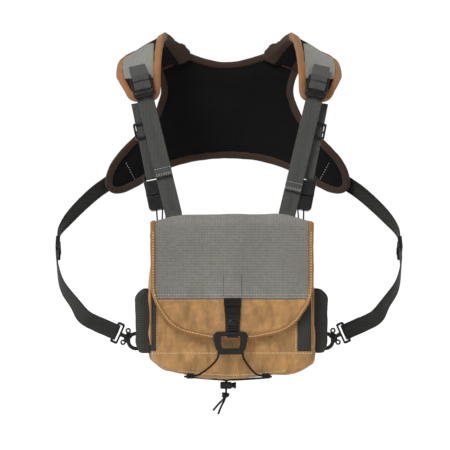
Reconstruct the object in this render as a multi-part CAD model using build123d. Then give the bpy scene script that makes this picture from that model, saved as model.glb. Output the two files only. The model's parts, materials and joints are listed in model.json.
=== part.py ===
from build123d import *
import math
import os

# Binocular harness pack. Millimetres. +X is the viewer's right as the pack faces them, +Y points
# to the wearer, +Z is up. The origin is the centre of the padded face that rests on the chest.

# ---- driving dimensions ----
CASE_HALF = 102.0          # half the case's width
CASE_SIDE_TOP = 79.0       # top edge of the case's side panels
CASE_FRONT_Y = -95.0       # outer face of the front panel
CASE_BACK_Y = -4.3         # rear face of the back panel, under the pad
PANEL = 4.0                # a padded case panel
FLAP_FRONT_Y = -100.5      # outer face of the flap's front
FLAP_TOP_Z = 101.0         # outer face of the flap's top
FLAP_HALF = 101.0          # half the flap's width
FLAP_HINGE = (0.0, -9.0, 97.5)
FLAP_SEAM_Z = -5.0         # seam between the flap's two cloths
BINDING = 4.0              # visible width of the case's edge tape

BACK_RADIUS = 291.0        # curve of the back panel round the wearer's back
BACK_AXIS_Y = -71.0
YOKE_BINDING = 8.0         # visible width of the yoke's edge tape
PAD_SLOPE = -0.6           # fall of the shoulder pads per mm outwards
PAD_START_X = 40.0         # planes between which the shoulder profile runs
PAD_END_X = 160.0
PATCH_LOW, PATCH_HIGH = 4.1, 5.4       # the patch's faces, off the pad's middle line

MAIN_WEB = 22.0            # width of the main straps
LEASH_WEB = 18.0           # width of the leash straps
SIDE_WEB = 20.0            # width of the side straps
WEB = 1.5                  # thickness of all webbing

LOCK_AT = (114.0, 31.0, 268.0)     # middle of the ladder lock
STRAP_FOOT = (72.0, -3.5, 97.0)    # where the main strap reaches the case
LEASH_TOP = (121.0, 41.0, 251.0)   # where the leash strap leaves the pad
LEASH_FOOT = (91.5, 8.5, 107.6)    # end face of the leash plug
LEASH_SLIDER_AT = 42.0             # distances below LEASH_TOP along the strap
SOCKET_TOP = 101.0
PLUG_TOP = 130.4

RING_MIDDLE_X = -2.0
CORD = 2.6                 # shock cord
LEASH_CORD = 2.0           # cord of the binocular leash
GUIDE_LEFT_X = -52.0
GUIDE_RIGHT_X = 42.0
GUIDE_Y = -99.5
GUIDE_Z = -101.0
LOCK_X = -7.0              # where the cords pass through the cord lock
LOCK_Y = -76.0
TAIL_TOP = -119.5          # where the cords leave the cord lock

os.makedirs("parts", exist_ok=True)


def save(name, *solids):
    """Write one node, as a group when it has several solids."""
    found = []
    for one in solids:
        found += list(one.solids())
    shape = found[0] if len(found) == 1 else Compound(children=found)
    export_step(shape, f"parts/{name}.step")
    print(f"{name:26s} {len(found)} solids {sum(s.volume for s in found) / 1000:8.2f} cm3")


def flip(shape):
    """The same piece on the other side of the pack."""
    return mirror(shape, about=Plane.YZ)


def block(low, high):
    """A box between two corners."""
    size = [b - a for a, b in zip(low, high)]
    middle = [(a + b) / 2 for a, b in zip(low, high)]
    return Pos(*middle) * Box(*size)


def outline(points, radii):
    """A face with rounded corners: one radius for each point, 0 for a sharp one."""
    face = make_face(Polyline(*points, close=True))
    for (x, y), radius in zip(points, radii):
        if radius:
            corner = min(face.vertices(), key=lambda v: math.hypot(v.X - x, v.Y - y))
            face = fillet(corner, radius)
    return face


def both_sides(points):
    """Outline points of the right half, from bottom to top, with their mirror images added."""
    return points + [(-x, y) for x, y in reversed(points)]


def prism(plane, face, length=400.0):
    """The face drawn on a plane, extruded both ways."""
    return extrude(plane * face, amount=length, both=True)


def tube(points, diameter, name, radii=None):
    """A cord's tube: straight runs joined by arcs, as large as the runs allow."""
    path_points = [Vector(*p) for p in points]
    runs = [(b - a) for a, b in zip(path_points, path_points[1:])]
    turns = [a.get_angle(b) for a, b in zip(runs, runs[1:])]
    if radii is None:
        radii = []
        for i, turn in enumerate(turns):
            shorter = min(runs[i].length, runs[i + 1].length)
            radii.append(0.45 * shorter / math.tan(math.radians(turn / 2)))
    path = FilletPolyline(*path_points, radius=radii)
    section = Plane(origin=path @ 0, z_dir=path % 0) * Circle(diameter / 2)
    solid = sweep(section, path=path)
    expected = math.pi * diameter**2 / 4 * path.length
    print(f"  {name}: length {path.length:.1f} volume ratio {solid.volume / expected:.4f}")
    print("  radii", [round(r, 1) for r in radii], "turns", [round(t) for t in turns])
    return solid


def webbing(points, radii, width):
    """Webbing that lies along a folded line in the local YZ plane."""
    path = FilletPolyline(*[(0, y, z) for y, z in points], radius=radii)
    section = Plane(origin=path @ 0, x_dir=(1, 0, 0), z_dir=path % 0) * Rectangle(width, WEB)
    return sweep(section, path=path)


def strap_plane(top, foot, width_dir=(1, 0, 0)):
    """Local frame on a strap: origin at its top, +Z up the strap, +X across it, +Y to the wearer."""
    up = (Vector(*top) - Vector(*foot)).normalized()
    across = Vector(*width_dir)
    across = (across - up * across.dot(up)).normalized()
    return Plane(origin=top, x_dir=across, z_dir=up)


# ---- yoke: back panel, wings and shoulder pads ----
def moved(curve, amount):
    """A curve that runs beside another one, to its left."""
    points = []
    for i in range(13):
        at, along = curve @ (i / 12), curve % (i / 12)
        points.append((at.X - along.Y * amount, at.Y + along.X * amount))
    return Spline(*points)


def yoke_outline(inset):
    """The back panel and its wings, seen from the front."""
    lower = [(0, 181), (40, 178), (84, 165), (122, 143), (147, 132), (166, 141)]
    upper = [(166, 141), (164, 160), (148, 187), (122, 214), (101, 240), (91, 268), (98, 299.2)]
    neck = [(52, 325), (33, 318.5), (14, 314), (0, 313)]
    right = moved(Spline(*lower, tangents=[(1, 0), (0.2, 1)]), inset)
    arm = moved(Spline(*upper, tangents=[(0.2, 1), (0.4, 1)]), inset)
    top = moved(Spline(*neck, tangents=[(-1, -0.4), (-1, 0)]), inset)
    half = [right, arm, Line(arm @ 1, top @ 0), top]
    return make_face(half + [mirror(e, about=Plane.YZ) for e in half])


def back_shell(inner, outer):
    """A sheet of the back panel, between two depths behind its front face."""
    axis = Pos(0, BACK_AXIS_Y, 250)
    big = axis * Cylinder(BACK_RADIUS + outer, 300)
    small = axis * Cylinder(BACK_RADIUS + inner, 300)
    return (big - small) & block((-220, 0, 100), (220, 400, 400))


def back_panel():
    field = prism(Plane.XZ, yoke_outline(YOKE_BINDING))
    save("back_panel_lining", back_shell(-4, -3) & field)
    save("back_panel_foam", back_shell(-3, 2.5) & field)
    save("back_panel_shell", back_shell(2.5, 4) & field)
    rim = prism(Plane.XZ, yoke_outline(0)) - field
    save("back_panel_binding", back_shell(-4.8, 4.8) & rim)


# The shoulder pad's middle line from the back to the chest, as (y, z) where x is 81.
SHOULDER = [
    (213, 276), (209, 305), (190, 333), (155, 346), (120, 343),
    (86, 328), (61, 309), (46, 289), (40, 268), (38, 240),
]


def shoulder_layer(low, high):
    """A layer of the shoulder profile between two heights off its middle line."""

    def side(height):
        line = []
        for i, (y, z) in enumerate(SHOULDER):
            before = SHOULDER[max(i - 1, 0)]
            after = SHOULDER[min(i + 1, len(SHOULDER) - 1)]
            dy, dz = after[0] - before[0], after[1] - before[1]
            long = math.hypot(dy, dz)
            line.append((y + dz / long * height, z - dy / long * height))
        return line

    shift = -PAD_SLOPE * (81 - PAD_START_X)
    a, b = side(low), side(high)
    lines = [Spline(*a), Line(a[-1], b[-1]), Spline(*b), Line(b[0], a[0])]
    face = Plane.YZ * make_face(lines)
    near = Pos(PAD_START_X, 0, shift) * face
    far = Pos(PAD_END_X, 0, shift + PAD_SLOPE * (PAD_END_X - PAD_START_X)) * face
    return loft([near, far], ruled=True)


def pad_region(inset):
    """The shoulder pad's outline, seen from above and from the front."""
    neck_side = [(48, 214), (57, 201), (67, 191), (76, 176), (84, 152), (88, 110), (91, 60), (93, 20)]
    arm_side = [(138, 20), (146, 60), (149, 90), (143, 130), (122, 172), (92, 214)]
    inner, outer = moved(Spline(*neck_side), inset), moved(Spline(*arm_side), inset)
    top = make_face([inner, Line(inner @ 1, outer @ 0), outer, Line(outer @ 1, inner @ 0)])
    body = extrude(top, amount=420)
    end = [(96 + inset / 2, 250 + inset), (130 - inset / 2, 250 + inset), (152 - inset, 290)]
    end += [(160, 420), (40, 420), (60, 300), (88 + inset, 276)]
    front = prism(Plane.XZ, outline(end, [12, 14, 20, 0, 0, 0, 8]))
    front &= block((0, -100, 0), (220, 130, 420))
    seam = [(52, 325.3), (98, 299.5), (140, 279.5), (160, 420), (20, 420), (20, 336.5)]
    rear = prism(Plane.XZ, outline(seam, [0] * 6))
    rear &= block((0, 130, 0), (220, 300, 420))
    return body & (front + rear)


def shoulder_pads():
    whole = pad_region(0)
    inner = pad_region(YOKE_BINDING)
    pad = shoulder_layer(-4, 4) & inner
    rim = (shoulder_layer(-4.6, 4.6) & whole) - inner
    save("right_shoulder_pad", pad)
    save("left_shoulder_pad", flip(pad))
    save("right_pad_binding", rim)
    save("left_pad_binding", flip(rim))
    patch = shoulder_layer(PATCH_LOW, PATCH_HIGH) & inner
    patch &= block((100, 0, 280), (142, 112, 330))
    save("shoulder_patches", patch, flip(patch))


# ---- ladder locks and main straps ----
LOCK_FRAME = strap_plane(LOCK_AT, STRAP_FOOT)


def lock_and_loop():
    body = extrude(Plane.XZ * RectangleRounded(28.5, 29, 3), amount=1.8, both=True)
    for low, high in ((3.2, 9.5), (-5.2, -1.0)):
        body -= block((-11.6, -5, low), (11.6, 5, high))
    bar = Pos(0, -1.9, -9.5) * Rot(0, 90, 0) * Cylinder(1.4, 23)
    body += bar
    placed = LOCK_FRAME.location * body
    save("ladder_locks", placed, flip(placed))
    points = [(31.4, 33.6), (3.4, 12.0), (3.4, 8.1), (-3.4, 8.1), (-3.4, 14.4), (24.6, 36.0)]
    loop = LOCK_FRAME.location * webbing(points, [3.0, 1.4, 1.4, 3.0], MAIN_WEB)
    loop = loop - (shoulder_layer(-5.4, 5.4) & pad_region(0))
    loop = loop.solids().sort_by(SortBy.VOLUME)[-1]
    save("lock_webbing_loops", loop, flip(loop))


def main_strap(tail_end):
    """The load webbing, up behind the lock, over its middle bar and down again as the tail."""
    reach = (Vector(*LOCK_AT) - Vector(*STRAP_FOOT)).length
    load, tail, front = 5.2, 3.2, -3.2
    points = [(load, -reach + 6), (load, 6.0), (front, 6.0), (front, -3.1)]
    points += [(tail, -3.1), (tail, -tail_end)]
    strap = webbing(points, [1.3, 1.3, 1.3, 1.3], MAIN_WEB)
    half = MAIN_WEB / 2
    hem = block((-half, tail - 2.2, -tail_end), (half, tail - 0.75, -tail_end + 11))
    strap = LOCK_FRAME.location * (strap + hem)
    across = LOCK_FRAME.x_dir
    foot = LOCK_FRAME.location * Pos(0, load, -reach + 6)
    at = foot.position
    down = Vector(-0.235, 0, -0.972).normalized()
    width = Vector(0.972, 0, -0.235).normalized()
    start = Vector(at.X - 0.6, CASE_BACK_Y + WEB / 2, 96)
    section = Rectangle(MAIN_WEB, WEB)
    first = Plane(origin=at, x_dir=across, z_dir=LOCK_FRAME.z_dir) * section
    second = Plane(origin=start, x_dir=width, z_dir=-down) * section
    third = Plane(origin=start + down * 40, x_dir=width, z_dir=-down) * section
    return strap + loft([first, second], ruled=True) + loft([second, third], ruled=True)


def harness_straps():
    lock_and_loop()
    save("left_main_strap", flip(main_strap(122)))
    save("right_main_strap", main_strap(142))


# ---- leash: slider, side-release buckle and cord ----
LEASH_FRAME = strap_plane(LEASH_TOP, LEASH_FOOT)


def slider(web):
    """A three-bar slider: end bars in front of the webbing, middle bar behind it."""
    inside = web / 2 + 0.7
    wide = inside + 2.8
    body = block((-wide, -2.9, -11), (wide, 2.9, 11))
    body = fillet(body.edges().filter_by(Axis.Y), 2.5)
    body -= block((-inside, -4, -7.6), (inside, 4, 7.6))
    body -= block((-inside, -1.15, -12), (inside, 4, 12))
    body += Pos(0, 2.5, 0) * Rot(0, 90, 0) * Cylinder(1.35, 2 * inside + 1)
    return body


def leash_parts():
    frame = LEASH_FRAME.location
    tack = SOCKET_TOP - 22
    fold = [(0, -SOCKET_TOP + 3), (0, -SOCKET_TOP - 6.2), (4.3, -SOCKET_TOP - 6.2), (4.3, -tack)]
    strap = block((-LEASH_WEB / 2, -WEB / 2, -SOCKET_TOP + 3), (LEASH_WEB / 2, WEB / 2, -3.8))
    strap += webbing(fold, [1.9, 1.9], LEASH_WEB)
    socket = block((-13.5, -2.6, -PLUG_TOP), (13.5, 6.8, -SOCKET_TOP - 9.2))
    socket = fillet(socket.edges().filter_by(Axis.Z), 2.5)
    collar = block((-13.5, 0.2, -SOCKET_TOP - 10.5), (13.5, 4.0, -SOCKET_TOP - 0.6))
    collar = fillet(collar.edges().filter_by(Axis.Y).group_by(Axis.Z)[-1], 3)
    collar -= block((-9.9, -5, -SOCKET_TOP - 8.6), (9.9, 9, -SOCKET_TOP - 4.8))
    collar -= block((-9.9, -5, -SOCKET_TOP - 4.8), (9.9, 9, -SOCKET_TOP + 5))
    bar = block((-10.5, 0.95, -SOCKET_TOP - 4.6), (10.5, 3.2, -SOCKET_TOP - 1.8))
    socket = socket + collar + bar
    socket -= block((-10.6, -0.4, -PLUG_TOP - 1), (10.6, 4.6, -PLUG_TOP + 18))
    socket -= block((-20, -0.2, -PLUG_TOP + 5), (20, 4.4, -PLUG_TOP + 14))
    reach = (Vector(*LEASH_TOP) - Vector(*LEASH_FOOT)).length
    plug = block((-13.3, -2.4, -reach), (13.3, 6.6, -PLUG_TOP - 0.3))
    plug = fillet(plug.edges().filter_by(Axis.Y).group_by(Axis.Z)[0], 6)
    for side in (-1, 1):
        arm = block((6.2, 0.1, -PLUG_TOP - 2), (9.6, 4.1, -PLUG_TOP + 13.5))
        plug += arm if side > 0 else flip(arm)
    plug += block((-1.6, 0.1, -PLUG_TOP - 2), (1.6, 4.1, -PLUG_TOP + 10))
    slide = Pos(0, 0, -LEASH_SLIDER_AT) * slider(LEASH_WEB)
    pieces = (
        ("leash_strap", strap),
        ("leash_socket", socket),
        ("leash_plug", plug),
        ("leash_slider", slide),
    )
    for name, body in pieces:
        placed = frame * body
        save("right_" + name, placed)
        save("left_" + name, flip(placed))


LEASH_ROUTE = [
    (95.4, 10.3, 106.4), (94.8, 3.0, 98.0), (94.2, -6.0, 91.0), (93.4, -15.0, 82.0), (94.2, -19.0, 68.0),
    (93.4, -20.4, 50.0), (94.8, -20.0, 35.2), (89.8, -20.0, 28.0), (82.6, -20.2, 28.0), (77.6, -20.0, 35.2),
    (79.8, -20.4, 50.0), (82.0, -19.0, 67.0), (84.8, -15.0, 82.0), (87.6, -6.0, 92.0), (88.2, 3.0, 99.4),
    (87.6, 10.6, 107.9),
]


def leash_cords():
    """A loop of thin cord from the plug, over the back panel's corner, down into the case and back."""
    route = [Vector(*p) for p in LEASH_ROUTE]
    face = Plane(origin=LEASH_FOOT, x_dir=LEASH_FRAME.x_dir, z_dir=LEASH_FRAME.z_dir)
    for end, hole in ((0, 4.0), (-1, -4.0)):
        exact = (face.location * Pos(hole, 2.0, 0)).position
        print("  leash cord end", [round(v, 2) for v in exact], "listed", LEASH_ROUTE[end])
        route[end] = exact
    cord = tube([tuple(p) for p in route], LEASH_CORD, "leash cord")
    cord = cord - (face.location * block((-12, -8, 0), (12, 12, 6)))
    save("right_leash_cord", cord)
    save("left_leash_cord", flip(cord))


# ---- side straps and hooks ----
HOOK_BAR = (150.0, -15.0, -49.0)
HOOK_NOSE = (113.4, -15.0, -65.3)
HOOK_FRAME = Plane(
    origin=HOOK_BAR,
    x_dir=(Vector(*HOOK_NOSE) - Vector(*HOOK_BAR)).normalized(),
    z_dir=Vector(*(Vector(*HOOK_NOSE) - Vector(*HOOK_BAR)).normalized()).cross(Vector(0, 1, 0)),
)
SLIDER_TOP = (227.0, 106.0, 78.0)
SLIDER_FOOT = (227.0, 62.0, 36.0)
SIDE_STATIONS = [
    ((136.0, 193.9, 163.0), (0.46, 0.89, 0.0)),
    ((166.0, 177.4, 143.0), (0.56, 0.83, 0.0)),
    ((186.0, 156.0, 127.0), (0.66, 0.75, 0.0)),
    ((211.0, 128.0, 101.0), (0.86, 0.50, 0.0)),
    (SLIDER_TOP, (1.0, 0.0, 0.0)),
    (SLIDER_FOOT, (1.0, 0.0, 0.0)),
    ((219.0, 30.0, 9.0), (0.90, -0.40, -0.10)),
    ((203.0, 5.0, -12.0), (0.60, -0.75, -0.20)),
]


def side_strap():
    """Webbing from the wing's outer face, round the wearer's side, to a fold round the hook's bar."""
    end = HOOK_FRAME.location * Pos(-24, -2.9, 0)
    points = [Vector(*p) for p, _ in SIDE_STATIONS]
    normals = [Vector(*n) for _, n in SIDE_STATIONS]
    bend = HOOK_FRAME.location * Pos(-42, -2.9, 0)
    points += [Vector(*(bend.position + Vector(0, 2.0, 2.0))), end.position]
    normals += [Vector(0.2, -0.98, 0.0), Vector(0, -1, 0)]
    sections = []
    for i, (at, normal) in enumerate(zip(points, normals)):
        ahead = points[min(i + 1, len(points) - 1)] - at
        behind = at - points[max(i - 1, 0)]
        along = (ahead.normalized() if ahead.length else Vector(0, 0, 0)) + (
            behind.normalized() if behind.length else Vector(0, 0, 0)
        )
        if i in (4, 5):
            along = Vector(*SLIDER_FOOT) - Vector(*SLIDER_TOP)
        if i == len(points) - 1:
            along = HOOK_FRAME.x_dir
        along = along.normalized()
        across = along.cross(normal).normalized()
        sections.append(Plane(origin=at, x_dir=across, z_dir=along) * Rectangle(SIDE_WEB, WEB))
    strap = loft(sections, ruled=True)
    fold_points = [(-2.9, -25), (-2.9, 4.6), (2.9, 4.6), (2.9, -17)]
    path = FilletPolyline(*[(x, y, 0) for y, x in fold_points], radius=[2.2, 2.2])
    section = Plane(origin=path @ 0, x_dir=(0, 0, 1), z_dir=path % 0) * Rectangle(SIDE_WEB, WEB)
    fold = HOOK_FRAME.location * sweep(section, path=path)
    return strap + fold


def hook():
    """Frame with the webbing bar, and two jaws that meet in a ring, stacked on one pivot."""
    hub_x, half_thick = 18.0, 1.8
    ring_x, ring_out, ring_in = 31.0, 12.0, 7.2

    def disc(x, z, radius, near=-20.0, far=20.0):
        length = far - near
        return Pos(x, (near + far) / 2, z) * Rot(90, 0, 0) * Cylinder(radius, length)

    frame = Pos(5.15, 0, 0) * extrude(Plane.XZ * RectangleRounded(10.3, 28, 2.5), amount=1.9, both=True)
    frame -= block((3.0, -5, -10.9), (7.8, 5, 10.9))
    neck = block((9, -1.9, -2.6), (hub_x, 1.9, 2.6)) - disc(hub_x, 0, 4.7)
    bridge = block((8, -3.2, -2.4), (hub_x + 1.8, -2.1, 2.4)) + block((8, -3.2, -2.4), (10, 0, 2.4))
    frame = frame + neck + bridge + disc(hub_x, 0, 1.6, -2.6, half_thick)

    jaws = []
    for side in (1, -1):
        upper = block((0, -9, 0.2), (60, 9, 40))
        ring = disc(ring_x, 0, ring_out, -half_thick, half_thick) - disc(ring_x, 0, ring_in)
        lobe = disc(hub_x - 1.5, 8.2, 3.6, -half_thick, half_thick)
        link = block((hub_x - 2.2, -half_thick, 2.5), (hub_x + 5, half_thick, 7))
        outer = (ring & upper) + lobe + link - disc(hub_x, 0, 4.5)
        if side > 0:
            near, far = -half_thick, -0.1
        else:
            near, far = 0.1, half_thick
        web = disc(hub_x, 0, 4.2, near, far) + block((hub_x - 2.2, near, 0), (hub_x + 2.2, far, 6))
        jaw = outer + web - disc(hub_x, 0, 1.75) - disc(hub_x - 1.5, 8.2, 1.5)
        jaws.append(jaw)
    lower = mirror(jaws[1], about=Plane.XY)
    return frame, jaws[0], lower


def side_pieces():
    strap = side_strap()
    slide_frame = strap_plane(SLIDER_TOP, SLIDER_FOOT, (0, 0.69, -0.72))
    middle = (Vector(*SLIDER_TOP) + Vector(*SLIDER_FOOT)) * 0.5
    slide_frame = Plane(origin=middle, x_dir=slide_frame.x_dir, z_dir=slide_frame.z_dir)
    slide = slide_frame.location * slider(SIDE_WEB)
    frame, lower, upper = [HOOK_FRAME.location * piece for piece in hook()]
    pieces = (
        ("side_strap", strap),
        ("side_slider", slide),
        ("side_hook_frame", frame),
        ("hook_upper_jaw", upper),
        ("hook_lower_jaw", lower),
    )
    for name, body in pieces:
        save("right_" + name, body)
        save("left_" + name, flip(body))
    print("  slider normal", slide_frame.y_dir, "axis", slide_frame.z_dir)
    pivot = (HOOK_FRAME.location * Pos(18.0, 0, 0)).position
    print("  hook pivot", pivot, "leash axis", LEASH_FRAME.z_dir, "hook z", HOOK_FRAME.z_dir)


# ---- case ----
def case_outline(inset, top):
    """The case from the front: straight sides and a base that dips towards the middle."""
    half = CASE_HALF - inset
    right = [(30, -104 + inset), (half, -95 + inset), (half, top)]
    corner = 20 - inset
    return outline(both_sides(right), [60, corner, 0, 0, corner, 60])


def sheet_at(face, near, far):
    """A panel that lies in the XZ plane, between two Y positions."""
    return prism(Plane.XZ, face) & block((-300, near, -300), (300, far, 400))


def crowned(face, corner_top, middle_top, corner, middle):
    """The panel's face with its top corners cut down to clear the flap."""
    points = both_sides([(160, -200), (160, corner_top - 12), (corner, corner_top), (middle, middle_top)])
    return face & make_face(Polyline(*points, close=True))


def case():
    gusset = prism(Plane.XZ, case_outline(0, CASE_SIDE_TOP)) - prism(Plane.XZ, case_outline(3.5, 200))
    gusset &= block((-300, CASE_FRONT_Y + PANEL, -300), (300, -8, 400))
    right_side = gusset & block((0, -200, -72), (200, 200, 200))
    save("case_right_side", right_side)
    save("case_left_side", flip(right_side))
    save("case_base", gusset & block((-200, -200, -200), (200, 200, -72)))
    front = crowned(case_outline(0, 92), 79, 91, 98, 66)
    save("case_front_panel", sheet_at(front, CASE_FRONT_Y, CASE_FRONT_Y + PANEL))
    back = crowned(case_outline(0, 97), 79, 95.5, 84, 66)
    save("case_back_panel", sheet_at(back, -8, CASE_BACK_Y))
    pad = extrude(Plane.XZ * RectangleRounded(172, 140, 22), amount=-CASE_BACK_Y)
    pad = Pos(0, 0, -20) * pad
    save("case_back_pad", pad)
    floor = sheet_at(case_outline(3.7, 0), CASE_FRONT_Y + PANEL, -8)
    save("case_floor_pad", floor & block((-200, -200, -200), (200, 200, -91)))
    strip = block((83, -96, -70), (98.5, -95, 4))
    save("corner_mesh_strips", strip, flip(strip))
    pocket = block((CASE_HALF, -82, -73), (121, -24, 6))
    pocket = fillet(pocket.edges().filter_by(Axis.Z).group_by(Axis.X)[-1], 9)
    room = block((90, -80.4, -71), (119.4, -25.6, 30))
    room = fillet(room.edges().filter_by(Axis.Z).group_by(Axis.X)[-1], 7.4)
    save("right_side_pocket", pocket - room)
    save("left_side_pocket", flip(pocket - room))
    loop = extrude(Pos(0, 0, -66) * (Rectangle(18.5, 15, align=(Align.MIN, Align.CENTER))), amount=6.5)
    loop = Pos(CASE_HALF, -15, 0) * loop
    loop = fillet(loop.edges().filter_by(Axis.Z).group_by(Axis.X)[-1], 6)
    hole = Pos(CASE_HALF, -15, -80) * extrude(Rectangle(17.0, 12, align=(Align.MIN, Align.CENTER)), amount=40)
    hole = fillet(hole.edges().filter_by(Axis.Z).group_by(Axis.X)[-1], 4.5)
    save("hook_loops", loop - hole, flip(loop - hole))


# ---- flap, tab and ring ----
def flap_block(depth):
    """Everything under the flap, at a depth below its outer face."""
    front, top = FLAP_FRONT_Y + depth, FLAP_TOP_Z - depth
    rear = FLAP_HINGE[1] - 0.3
    side = outline([(rear, -90), (rear, top), (front, top), (front, -90)], [0, 0, 15 - depth, 0])
    above = both_sides([(160, -120), (160, top - 27.4), (62, top)])
    crown = outline(above, [0, 0, 90, 90, 0, 0])
    return prism(Plane.YZ, side) & prism(Plane.XZ, crown)


def flap_region(inset):
    half = FLAP_HALF - inset
    curve = [(26, -54 + inset), (74 - inset * 0.5, -44 + inset * 0.9), (half, -2), (half, 130)]
    front = outline(both_sides(curve), [60, 50, 58, 0, 0, 58, 50, 60])
    top = [(76 - inset, 10), (76 - inset, -9), (half, -62), (half, -140)]
    above = make_face(Polyline(*both_sides(top), close=True))
    return prism(Plane.XZ, front) & extrude(Pos(0, 0, -150) * above, amount=320)


def flap():
    inner = flap_region(BINDING)
    rim = flap_region(0) - inner
    outer_cloth = (flap_block(0) - flap_block(2.0)) & inner
    save("flap_panel", outer_cloth & block((-200, -200, FLAP_SEAM_Z), (200, 200, 200)))
    save("flap_lower_panel", outer_cloth & block((-200, -200, -200), (200, 200, FLAP_SEAM_Z)))
    save("flap_lining", (flap_block(2.0) - flap_block(3.2)) & inner)
    save("flap_binding", (flap_block(-0.8) - flap_block(4.0)) & rim)


def closure():
    x = RING_MIDDLE_X + 2.5
    tab = [(x - 9, -54), (x + 9, -54), (x + 11, FLAP_SEAM_Z + 2), (x - 11, FLAP_SEAM_Z + 2)]
    plate = sheet_at(make_face(Polyline(*tab, close=True)), FLAP_FRONT_Y - 2.0, FLAP_FRONT_Y - 0.85)
    lip = block((x - 7, -107.6, -54), (x + 7, -102.4, -52.2))
    lip += block((x - 7, -109.2, -54), (x + 7, -107.4, -48.5))
    save("closure_tab", plate + lip)

    x = RING_MIDDLE_X
    hexagon = [(x - 14, -74), (x + 14, -74), (x + 19, -66), (x + 22, -50), (x + 18, -45.3)]
    hexagon += [(x - 18, -45.3), (x - 22, -50), (x - 19, -66)]
    window = [(x - 11, -66), (x + 11, -66), (x + 13, -51.2), (x - 13, -51.2)]
    face = outline(hexagon, [3] * 8) - outline(window, [2.5] * 4)
    ring = sheet_at(face, -106.6, -103.2)
    ring = fillet(ring.edges().filter_by(GeomType.LINE).filter_by(Axis.X).group_by(Axis.Z)[-1], 1.0)
    for side in (-1, 1):
        ring -= Pos(x + side * 14.9, -104.9, -76) * Cylinder(CORD / 2 + 0.1, 10.6)
    save("closure_ring", ring)

    left = [
        (x - 14.9, -104.9, -71.0), (x - 14.9, -104.9, -76.2), (x - 20.0, -102.4, -84.5),
        (-33.0, -100.6, -94.0), (-43.5, GUIDE_Y, GUIDE_Z), (GUIDE_LEFT_X, GUIDE_Y, GUIDE_Z),
    ]
    right = [
        (x + 14.9, -104.9, -71.0), (x + 14.9, -104.9, -76.2), (18.0, -102.4, -85.0), (25.0, -100.6, -94.5),
        (33.0, GUIDE_Y, GUIDE_Z), (GUIDE_RIGHT_X, GUIDE_Y, GUIDE_Z),
    ]
    save("closure_cord_legs", tube(left, CORD, "left leg"), tube(right, CORD, "right leg"))

    guides = []
    for middle in (GUIDE_LEFT_X, GUIDE_RIGHT_X):
        body = Pos(middle, GUIDE_Y, GUIDE_Z) * Rot(0, 90, 0) * Cylinder(3.3, 9)
        body += block((middle - 4.5, GUIDE_Y, GUIDE_Z - 1.6), (middle + 4.5, CASE_FRONT_Y, GUIDE_Z + 3.3))
        body -= Pos(middle, GUIDE_Y, GUIDE_Z) * Rot(0, 90, 0) * Cylinder(CORD / 2 + 0.35, 20)
        guides.append(body)
    save("cord_guides", *guides)

    under = -106.9
    left_run = [
        (GUIDE_LEFT_X, GUIDE_Y, GUIDE_Z), (GUIDE_LEFT_X - 8.5, GUIDE_Y, GUIDE_Z),
        (-64.0, -96.0, -105.6), (-56.0, -90.0, -108.4),
        (-36.0, -84.0, under), (-18.0, -79.0, under + 0.4), (LOCK_X, LOCK_Y - 1.4, under + 0.4),
        (LOCK_X, LOCK_Y - 1.4, TAIL_TOP),
    ]
    right_run = [
        (GUIDE_RIGHT_X, GUIDE_Y, GUIDE_Z), (GUIDE_RIGHT_X + 8.5, GUIDE_Y, GUIDE_Z),
        (54.0, -96.0, -105.6), (45.0, -90.0, -108.4),
        (26.0, -83.0, under), (6.0, -76.4, under + 0.4), (LOCK_X, LOCK_Y + 1.4, under + 0.4),
        (LOCK_X, LOCK_Y + 1.4, TAIL_TOP),
    ]
    bends = [4.0, 2.8, 12.0, 30.0, 30.0, 3.0]
    runs = [tube(run, CORD, "base run", bends) for run in (left_run, right_run)]
    save("closure_cord_base", *runs)


# ---- cord lock, knot and tails ----
def cord_lock():
    z = -114.2
    body = block((-14.5, LOCK_Y - 5.5, z - 4.3), (0, LOCK_Y + 5.5, z + 4.3))
    body = fillet(body.edges(), 1.6)
    slot = block((LOCK_X - 1.7, LOCK_Y - 3.1, z - 8), (LOCK_X + 1.7, LOCK_Y + 3.1, z + 8))
    bore = Pos(-5.5, LOCK_Y, z) * Rot(0, 90, 0) * Cylinder(3.45, 15)
    save("cord_lock_body", body - slot - bore)
    stem = Pos(-3.3, LOCK_Y, z) * Rot(0, 90, 0) * Cylinder(3.3, 12.6)
    head = Pos(4.2, LOCK_Y, z) * Rot(0, 90, 0) * Cylinder(4.2, 2.8)
    head = fillet(head.edges(), 0.9)
    through = block((-8.8, LOCK_Y - 3.1, z - 8), (-3.6, LOCK_Y + 3.1, z + 8))
    save("cord_lock_button", stem + head - through)
    coil = Helix(pitch=1.05, height=2.6, radius=2.2)
    wire = sweep(Plane(origin=coil @ 0, z_dir=coil % 0) * Circle(0.22), path=coil)
    spring = Pos(-12.72, LOCK_Y, z) * Rot(0, 90, 0) * wire
    save("cord_lock_spring", spring)


TAIL_A = [
    (-7.0, -77.4, -119.5), (-7.0, -77.4, -125.5), (-10.6, -78.8, -132.0),
    (-17.4, -80.4, -138.0), (-23.5, -81.0, -145.5),
]
TAIL_B = [
    (-7.0, -74.6, -119.5), (-7.0, -74.6, -126.0), (-9.4, -75.2, -134.0),
    (-13.8, -76.0, -141.5), (-17.0, -76.2, -150.5),
]


def tails():
    save("left_cord_tail", tube(TAIL_A, CORD, "left tail"))
    save("right_cord_tail", tube(TAIL_B, CORD, "right tail"))
    knot = Pos(-7.6, -76.2, -125.0) * Rot(0, 8, 0) * Torus(3.6, 1.5)
    knot += Pos(-7.8, -76.2, -127.4) * Rot(14, -10, 0) * Torus(3.3, 1.5)
    save("cord_knot", knot)


back_panel()
shoulder_pads()
harness_straps()
leash_parts()
leash_cords()
side_pieces()
case()
flap()
closure()
cord_lock()
tails()
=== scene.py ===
import json
import math

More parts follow.
